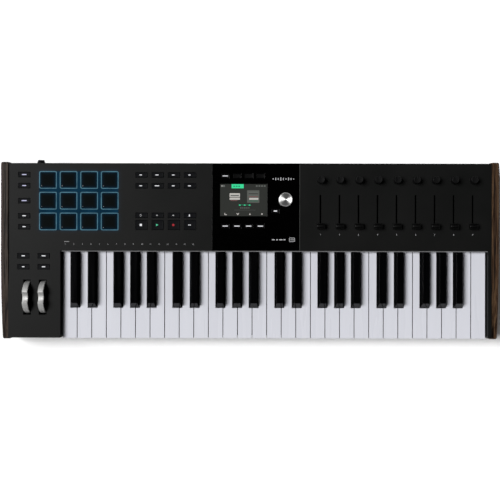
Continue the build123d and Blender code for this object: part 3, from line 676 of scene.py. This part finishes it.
def make_side_legends():
    """A lit dash in place of each word, the first three cooler in colour."""
    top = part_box("side_buttons")[1].z - LEGEND_DEPTH
    marks = bmesh.new()
    widths = (7.4, 6.4, 8.2, 5.8, 5.2, 5.4, 6.4, 4.0, 5.6)
    centres = [point for row in rows_of("side_buttons") for point in row]
    for i, ((x, y), width) in enumerate(zip(centres, widths)):
        add_bar(marks, x, y, top, width * MM, 1.5 * MM, 1 if i < 3 else 0)
    add_piece(marks, "side_legends", [MAT["legend"], MAT["legend_cool"]], "side_buttons")


def make_daw_legends():
    """Dashes on two rows, and generic icons on the others: loop, arrows, metronome and transport."""
    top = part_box("daw_buttons")[1].z - LEGEND_DEPTH
    marks = bmesh.new()
    first, second, third, transport = rows_of("daw_buttons")
    for (x, y), width in zip(first + second, (4.2, 5.2, 4.4, 3.6, 4.4, 7.2, 4.6, 4.6)):
        add_bar(marks, x - 1.2 * MM, y, top, width * MM, 1.3 * MM)
    loop, back, forward, beat = [(x - 1.2 * MM, y) for x, y in third]
    add_hoop(marks, *loop, top, 1.6 * MM, 0.5 * MM, 3)
    add_polygon(marks, *back, top, [(-1.5, 0), (0.9, -1.3), (0.9, 1.3)], 3)
    add_polygon(marks, *forward, top, [(-1.2, -0.7), (1.5, -0.7), (1.5, 0.7), (-1.2, 0.7)], 3)
    add_polygon(marks, *beat, top, [(-1.1, -1.7), (1.1, -1.7), (0.5, 1.7), (-0.5, 1.7)])
    stop, play, record, tap = [(x - 1.0 * MM, y) for x, y in transport]
    slab(marks, stop, (3.6 * MM, 3.6 * MM), 0.5 * MM, [(0.0, top), (0.0, top + MARK_H)])
    add_polygon(marks, *play, top, [(-1.6, -2.0), (2.0, 0), (-1.6, 2.0)], 1)
    add_disc(marks, *record, top, 2.0 * MM, 2)
    for side in (-1, 1):
        add_bar(marks, tap[0] + side * 1.1 * MM, tap[1], top, 1.8 * MM, 1.7 * MM)
    mats = [MAT["legend"], MAT["green_lamp"], MAT["red_lamp"], MAT["mark"]]
    add_piece(marks, "control_legends", mats, "daw_buttons")


def make_context_legends():
    """A lit dash on the first upper button, on each lower one and on the back button."""
    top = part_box("context_buttons")[1].z - LEGEND_DEPTH
    marks = bmesh.new()
    upper, back, lower = rows_of("context_buttons")
    add_bar(marks, *upper[0], top, 8.6 * MM, 1.2 * MM)
    for x, y in lower:
        add_bar(marks, x, y, top, 8.8 * MM, 1.3 * MM)
    add_bar(marks, *back[0], top, 5.6 * MM, 1.8 * MM)
    add_piece(marks, "context_legends", [MAT["legend"]], "context_buttons")


# ---------------------------------------------------------------- display

def make_display():
    """The lit picture just above the cover: a header tab, two cards, lines and four soft-key icons.

    Marks are placed in millimetres about the middle of the screen.
    """
    low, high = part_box("display_module")
    centre = middle((low, high))
    top = high.z + 0.01 * MM
    mats = [
        lit("screen_ground", (0.028, 0.030, 0.027), 1.0),
        lit("screen_green", (0.05, 0.80, 0.36), 0.9),
        lit("screen_pale", (0.55, 0.53, 0.50), 0.95),
        lit("screen_card", (0.10, 0.105, 0.095), 1.0),
        lit("screen_red", (0.25, 0.10, 0.10), 0.9),
        lit("screen_dim", (0.14, 0.15, 0.14), 0.9),
        lit("screen_deep", (0.012, 0.15, 0.085), 1.0),
    ]
    ground, green, pale, card, red, dim, deep = range(7)
    picture = bmesh.new()

    def mark(x, y, width, height, colour, lift=0.0, radius=0.2):
        base = top + lift * MM
        slab(picture, (centre.x + x * MM, centre.y + y * MM), (width * MM, height * MM), radius * MM,
             [(0.0, base), (0.0, base + 0.02 * MM)], colour, 3)

    mark(0, 0, 75.2, 51.3, ground)
    mark(-9.7, 22.2, 19.4, 6.6, green, 0.03, 0.4)
    for i in range(3):
        mark(-15.2 + 4.0 * i, 22.2, 2.6, 1.6, deep, 0.06)
    mark(-33.2, 22.6, 6.0, 3.0, dim, 0.03)
    mark(-34.8, 22.6, 1.2, 1.6, pale, 0.06)
    for i in range(4):
        mark(21.0 + 4.2 * i, 22.6, 2.8, 2.0, dim, 0.03)
    mark(-14.3, 7.9, 16.6, 6.2, pale, 0.03, 0.8)
    mark(-14.3, 7.2, 13.6, 2.0, dim, 0.06)
    mark(-14.3, 2.2, 16.6, 3.4, pale, 0.03, 0.4)
    mark(-15.5, -0.9, 11.0, 0.7, red, 0.03)
    mark(15.3, 5.7, 19.6, 20.0, card, 0.03, 0.4)
    for i, tone in enumerate((dim, ground, dim, red)):
        mark(15.6, 12.6 - 2.4 * i, 15.0, 0.9, tone, 0.06)
    mark(16.2, 2.0, 14.6, 3.0, pale, 0.06)
    mark(15.6, -1.4, 14.6, 1.0, deep, 0.06)
    for i in range(5):
        mark(-6.2 + 3.9 * i, -8.0 + 0.4 * (i % 2), 2.9, 1.5, deep if i % 2 else green, 0.03)
    for i in range(5):
        mark(-4.6 + 3.2 * i, -12.6, 2.4, 1.2, dim, 0.03)
    mark(2.0, -16.0, 34.0, 0.25, dim, 0.03, 0.1)
    shapes = (
        [(-2.0, 1.6), (-0.9, 1.6), (-0.9, -0.6), (2.0, -0.6), (2.0, -1.7), (-1.4, -1.7), (-2.0, -1.1)],
        [(-2.4, 1.4), (-1.2, 1.4), (0.0, 0.1), (1.2, 1.4), (2.4, 1.4), (0.4, -1.6), (-0.4, -1.6)],
        [(-1.5, -1.3), (1.5, -1.3), (0.0, 1.5)],
        [(-1.1, -0.5), (-0.5, -1.2), (0.5, -1.2), (1.1, -0.5),
         (1.1, 0.5), (0.5, 1.2), (-0.5, 1.2), (-1.1, 0.5)],
    )
    for i, shape in enumerate(shapes):
        x = centre.x + (-28.8 + 19.4 * i) * MM
        add_polygon(picture, x, centre.y - 22.3 * MM, top + 0.03 * MM, shape, pale)
    add_piece(picture, "screen_picture", mats, CHASSIS)


# ---------------------------------------------------------------- turned and sliding controls

def make_main_knob():
    """A turned metal knob with a knurled side, a raised rim and a shallow dished top."""
    knurls = 100
    low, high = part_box("encoder_knob")
    centre = middle((low, high))
    radius = (high.x - low.x) / 2
    profile = [
        (radius * 0.5, low.z + 0.6 * MM), (radius - 0.9 * MM, low.z + 0.6 * MM), (radius - 0.9 * MM, low.z),
        (radius - 0.3 * MM, low.z), (radius, low.z + 0.4 * MM), (radius, high.z - 1.3 * MM),
        (radius - 0.25 * MM, high.z - 0.9 * MM), (radius - 1.1 * MM, high.z - 0.05 * MM),
        (radius - 1.35 * MM, high.z), (radius - 1.6 * MM, high.z - 0.06 * MM),
        (radius * 0.5, high.z - 0.32 * MM), (radius * 0.06, high.z - 0.4 * MM),
    ]

    def ripple(row, angle):
        """Fine straight knurling on the side only."""
        return 1.0 - 0.011 * (0.5 + 0.5 * math.cos(knurls * angle)) if row in (4, 5) else 1.0

    bm = bmesh.new()
    lathe(bm, centre, profile, 4 * knurls, ripple)
    mats = [spun_metal(centre)]
    add_piece(bm, "main_knob_cap", mats, "encoder_knob", ("encoder_knob",))


def make_small_knobs():
    """Rubbery knobs with a skirt, finger flutes and a faint pointer line."""
    flutes = 24
    for number in range(1, FADERS + 1):
        node = f"knob_{number}"
        low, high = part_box(node)
        centre = middle((low, high))
        radius = (high.x - low.x) / 2
        foot = PANEL_TOP + 1.0 * MM
        profile = [
            (3.0 * MM, low.z), (3.0 * MM, foot), (radius - 0.5 * MM, foot), (radius, foot + 0.4 * MM),
            (radius, foot + 1.6 * MM), (radius - 0.5 * MM, foot + 2.2 * MM),
            (radius - 0.75 * MM, high.z - 1.1 * MM),
            (radius - 0.95 * MM, high.z - 0.4 * MM), (radius - 1.5 * MM, high.z),
            (radius - 2.2 * MM, high.z - 0.1 * MM), (radius * 0.1, high.z - 0.3 * MM),
        ]

        def ripple(row, angle):
            """Soft finger flutes on the upper side."""
            return 1.0 - 0.035 * (0.5 + 0.5 * math.cos(flutes * angle)) if row in (5, 6) else 1.0

        bm = bmesh.new()
        lathe(bm, centre, profile, 8 * flutes, ripple)
        slab(bm, (centre.x, centre.y + radius * 0.52), (0.7 * MM, radius * 0.6), 0.3 * MM,
             [(0.0, high.z - 0.3 * MM), (0.0, high.z + 0.01 * MM)], 1, 3)
        add_piece(bm, f"knob_cap_{number}", [MAT["rubber"], MAT["faint"]], node, (node,))


def make_faders():
    """Caps with a raised pointer bar between two finger dishes."""
    for number in range(1, FADERS + 1):
        node = f"fader_{number}"
        low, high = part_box(node)
        centre = middle((low, high))
        half = (high.y - low.y) / 2
        foot = PANEL_TOP + 0.8 * MM
        tall = high.z - foot
        outline = [(-half, foot), (half, foot), (half, foot + 0.9 * tall)]
        outline += [(half - 0.25 * MM, high.z - 0.2 * MM), (half - 0.7 * MM, high.z)]
        for i in range(7):
            share = i / 6
            dip = 1.5 * MM * math.sin(math.pi * share)
            outline.append((half - 0.7 * MM - share * (half - 1.5 * MM), high.z - dip))
        mirrored = [(-y, z) for y, z in reversed(outline[2:])]
        bm = bmesh.new()
        width = high.x - low.x
        loops = []
        for inset, x in ((0.5, -0.5), (0.15, -0.46), (0.0, -0.42), (0.0, 0.42), (0.15, 0.46), (0.5, 0.5)):
            loop = []
            share_y = 1 - inset * MM / half
            for y, z in outline + mirrored:
                drop = inset * MM if z > foot else 0.0
                loop.append(Vector((centre.x + x * width, centre.y + y * share_y, z - drop)))
            loops.append(loop)
        skin(bm, loops)
        blade = [(0.0, low.z), (0.0, foot + 0.5 * MM)]
        slab(bm, centre, (1.8 * MM, 6.0 * MM), 0.3 * MM, blade)
        for side in (-1, 1):
            line_y = centre.y + side * 0.55 * MM
            add_bar(bm, centre.x, line_y, high.z - 0.1 * MM, width - 1.2 * MM, 0.3 * MM, 1)
        add_piece(bm, f"fader_cap_{number}", [MAT["satin"], MAT["faint"]], node, (node,))


def make_wheels():
    """Black discs with a wide brushed rim and a finger scoop."""
    steps = 240
    scoop = 11.0 * MM
    rim = 7.2 * MM
    # Each row is its side, as a share of the half width, and its depth below the rim in millimetres.
    half_rows = [(0.4, -0.03), (0.8, 0.0), (0.92, 0.5), (0.86, 2.2), (1.0, 2.6), (1.0, 9.0)]
    rows = [(-side, inset) for side, inset in reversed(half_rows)] + half_rows
    for node, joint in (("pitch_wheel", "pitch_turn"), ("mod_wheel", "mod_turn")):
        low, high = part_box(node)
        axis = Vector(JOINTS[joint]["pos_m"])
        radius = axis.z - low.z
        half = (high.x - low.x) / 2
        scoop_z = radius + 5.8 * MM
        outline = []
        for i in range(steps):
            angle = 2 * math.pi * i / steps
            y, z = math.sin(angle), math.cos(angle)
            reach = radius
            inside = scoop ** 2 - (scoop_z * y) ** 2
            if z > 0 and inside > 0:
                reach = min(radius, scoop_z * z - math.sqrt(inside))
            outline.append((reach, y, z))
        bm = bmesh.new()
        loops = []
        for side, inset in rows:
            x = axis.x + side * half
            loop = []
            for reach, y, z in outline:
                reach -= inset * MM
                loop.append(Vector((x, axis.y + reach * y, axis.z + reach * z)))
            loops.append(loop)
        skin(bm, loops)
        for face in bm.faces:
            centre = face.calc_center_median()
            if len(face.verts) == 4 and abs(centre.x - axis.x) < 0.93 * half:
                distance = math.hypot(centre.y - axis.y, centre.z - axis.z)
                face.material_index = 0 if distance < radius - rim else 1
        add_piece(bm, f"{node}_disc", [MAT["satin"], MAT["wheel"]], node, (node,))


# ---------------------------------------------------------------- print on the panel

def add_text(bm, word, x, y, z, size):
    """Adds a number, centred on (x, y), as a thin raised print."""
    curve = bpy.data.curves.new("number", "FONT")
    curve.body = word
    curve.size = size
    curve.extrude = 0.02 * MM
    curve.align_x = "CENTER"
    curve.align_y = "CENTER"
    holder = bpy.data.objects.new("number", curve)
    bpy.context.scene.collection.objects.link(holder)
    bpy.context.view_layer.update()
    mesh = bpy.data.meshes.new_from_object(holder)
    mesh.transform(Matrix.Translation((x, y, z)))
    bm.from_mesh(mesh)
    bpy.data.objects.remove(holder)
    bpy.data.curves.remove(curve)
    bpy.data.meshes.remove(mesh)


def make_print():
    """Numbers: 1 to 16 over the keys with a dashed word, one below each fader and one on each pad."""
    key_row, word_row, fader_row = 9.0 * MM, 13.1 * MM, 24.7 * MM
    panel = bmesh.new()
    z = PANEL_TOP + 0.02 * MM
    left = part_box("keys_1_ceg_b")[0].x
    for i in range(16):
        add_text(panel, str(i + 1), left + (5.9 + 13.66 * i) * MM, key_row, z, 3.0 * MM)
    for i in range(4):
        add_bar(panel, left + (5.2 + 2.0 * i) * MM, word_row, z - 0.04 * MM, 1.5 * MM, 1.0 * MM)
    for number in range(1, FADERS + 1):
        centre = middle(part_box(f"fader_{number}"))
        add_text(panel, str(number), centre.x, fader_row, z, 3.4 * MM)
    add_piece(panel, "panel_numbers", [MAT["ink"]], CHASSIS)
    numbers = bmesh.new()
    boxes = sorted(islands("pads"), key=lambda box: (round(box[0].y, 4), box[0].x))
    for i, (low, high) in enumerate(boxes):
        x = low.x + PAD_FLANGE + 2.6 * MM
        y = low.y + PAD_FLANGE + 2.9 * MM
        add_text(numbers, str(i + 1), x, y, high.z - 0.1 * MM, 2.2 * MM)
    add_piece(numbers, "pad_numbers", [MAT["mark"]], "pads")


def make_plate_marks():
    """Generic marks on the gloss plate: a row of level bars, and dashes with a framed wave."""
    low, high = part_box("centre_panel")
    z = high.z + 0.01 * MM
    right = high.x - 8.4 * MM
    upper = low.y + 115.2 * MM
    lower = low.y + 17.8 * MM
    marks = bmesh.new()
    for i, height in enumerate((2.2, 4.0, 3.0, 5.2, 3.8, 2.6, 4.6, 3.2, 2.0)):
        add_bar(marks, right - (34.0 - 4.1 * i) * MM, upper, z, 1.5 * MM, height * MM)
    for i, width in enumerate((4.6, 3.0, 5.4, 3.6)):
        add_bar(marks, right - (33.6 - 6.0 * i) * MM, lower, z, width * MM, 1.7 * MM)
    frame_x = right - 3.6 * MM
    line = 0.7 * MM
    levels = [(0.0, z), (0.0, z + MARK_H), (line, z + MARK_H), (line, z)]
    slab(marks, (frame_x, lower), (9.0 * MM, 6.6 * MM), 1.0 * MM, levels, closed=True)
    for i, height in enumerate((1.6, 3.2, 2.2)):
        add_bar(marks, frame_x + (i - 1) * 2.0 * MM, lower, z, 0.9 * MM, height * MM)
    add_piece(marks, "plate_marks", [MAT["mark"]], CHASSIS)


def make_plate_edge():
    """A painted highlight: a thin lighter grey strip along the right side of the gloss plate, standing in for the
    light caught by the panel's bare cut edge.
    """
    low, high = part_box("centre_panel")
    z = high.z + 0.01 * MM
    edge = bmesh.new()
    size = (0.7 * MM, high.y - low.y - 1.0 * MM)
    levels = [(0.0, z - 0.3 * MM), (0.1 * MM, z + 0.1 * MM)]
    slab(edge, (high.x + size[0] / 2, (low.y + high.y) / 2), size, 0.2 * MM, levels)
    # painted highlight: lighter grey than the panel, on the right side only, where the edge faces the light
    add_piece(edge, "plate_edge_highlight", [ink("painted_edge_highlight", (0.056, 0.059, 0.056))], CHASSIS)


# ---------------------------------------------------------------- rear

def make_rear_fittings():
    """Hexagon nuts and washers on the pedal jacks, metal lips on the five-pin sockets and the inlet."""
    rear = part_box("bottom_case")[1].y
    bm = bmesh.new()
    turn = Matrix.Rotation(math.radians(-90), 4, "X")

    def ring(x, z, steps, rows):
        """A ring about a rear-facing axis. rows are (radius, depth out of the wall)."""
        loops = []
        for radius, depth in rows:
            loop = []
            for i in range(steps):
                angle = 2 * math.pi * (i + 0.5) / steps
                point = turn @ Vector((radius * math.cos(angle), radius * math.sin(angle), depth))
                loop.append(Vector((x, rear, z)) + point * MM)
            loops.append(loop)
        skin(bm, loops, closed=True)

    for mount in frame["record"]["mounts"]:
        x, _, z = mount["pos_m"]
        if mount["name"].startswith("pedal_jack"):
            ring(x, z, 48, [(7.6, 0.02), (7.6, 0.4), (5.5, 0.4), (5.5, 0.02)])
            ring(x, z, 6, [(6.9, 0.4), (6.9, 1.0), (6.5, 1.25), (5.5, 1.25), (5.5, 0.4)])
            ring(x, z, 48, [(4.6, 1.42), (4.6, 1.48), (3.3, 1.48), (3.3, 1.42)])
        if mount["name"].startswith("din_socket"):
            ring(x, z, 64, [(8.0, 0.62), (8.0, 0.8), (7.2, 0.8), (7.2, 0.62)])
        if mount["name"] == "power_inlet":
            ring(x, z, 48, [(4.3, 0.02), (4.3, 0.3), (2.9, 0.3), (2.9, 0.02)])
    add_piece(bm, "rear_fittings", [MAT["nickel"]], CHASSIS)


# ---------------------------------------------------------------- stage, light and camera

CAMERA_HEIGHT = 1.298
CAMERA_TURN = math.radians(0.1)
LENS = 55.7
FLOOR_HALF = 6.0
SUN_TOWARD = (0.71, -0.18, -1.0)
SUN_STRENGTH = 4.2
SUN_ANGLE = math.radians(31)


def make_stage():
    """A plain pale floor under the feet."""
    bm = bmesh.new()
    bmesh.ops.create_grid(bm, x_segments=1, y_segments=1, size=FLOOR_HALF)
    mesh = bpy.data.meshes.new("floor")
    bm.to_mesh(mesh)
    bm.free()
    floor = bpy.data.objects.new("floor", mesh)
    bpy.context.scene.collection.objects.link(floor)
    mesh.materials.append(Graph("floor_paper", (0.93, 0.93, 0.93), 0.9, specular_ior_level=0.1).mat)


def make_world():
    """A pale studio wall all round, with a dark ceiling."""
    world = bpy.data.worlds.new("studio")
    bpy.context.scene.world = world
    world.use_nodes = True
    tree = world.node_tree
    background = tree.nodes["Background"]
    place = tree.nodes.new("ShaderNodeTexCoord")
    split = tree.nodes.new("ShaderNodeSeparateXYZ")
    ramp = tree.nodes.new("ShaderNodeValToRGB")
    tree.links.new(place.outputs["Generated"], split.inputs[0])
    tree.links.new(split.outputs["Z"], ramp.inputs["Fac"])
    tree.links.new(ramp.outputs["Color"], background.inputs["Color"])
    wall, ceiling = ramp.color_ramp.elements
    wall.position = 0.15
    wall.color = (0.92, 0.92, 0.93, 1.0)
    ceiling.position = 0.6
    ceiling.color = (0.002, 0.002, 0.002, 1.0)
    background.inputs["Strength"].default_value = 0.9


def make_light():
    """One wide soft light from the upper left."""
    sun = bpy.data.lights.new("key_light", "SUN")
    sun.energy = SUN_STRENGTH
    sun.angle = SUN_ANGLE
    holder = bpy.data.objects.new("key_light", sun)
    holder.rotation_mode = "QUATERNION"
    holder.rotation_quaternion = Vector(SUN_TOWARD).to_track_quat("-Z", "Y")
    bpy.context.scene.collection.objects.link(holder)


def make_camera():
    """Straight above, as in the photograph."""
    data = bpy.data.cameras.new("camera")
    data.lens = LENS
    data.clip_end = 50.0
    camera = bpy.data.objects.new("camera", data)
    camera.location = (0.0, 0.0, CAMERA_HEIGHT)
    camera.rotation_euler = (0.0, 0.0, CAMERA_TURN)
    bpy.context.scene.collection.objects.link(camera)
    bpy.context.scene.camera = camera


finish_cad_nodes()
make_case()
make_keys()
make_pad_rings()
make_pad_web()
make_pad_caps()
for group, finish in (("side_buttons", "button"), ("daw_buttons", "button"), ("context_buttons", "cap")):
    make_buttons(group, finish)
make_side_legends()
make_daw_legends()
make_context_legends()
make_display()
make_main_knob()
make_small_knobs()
make_faders()
make_wheels()
make_print()
make_plate_marks()
make_plate_edge()
make_rear_fittings()
make_stage()
make_world()
make_light()
make_camera()
bpy.context.scene.view_settings.view_transform = "Standard"
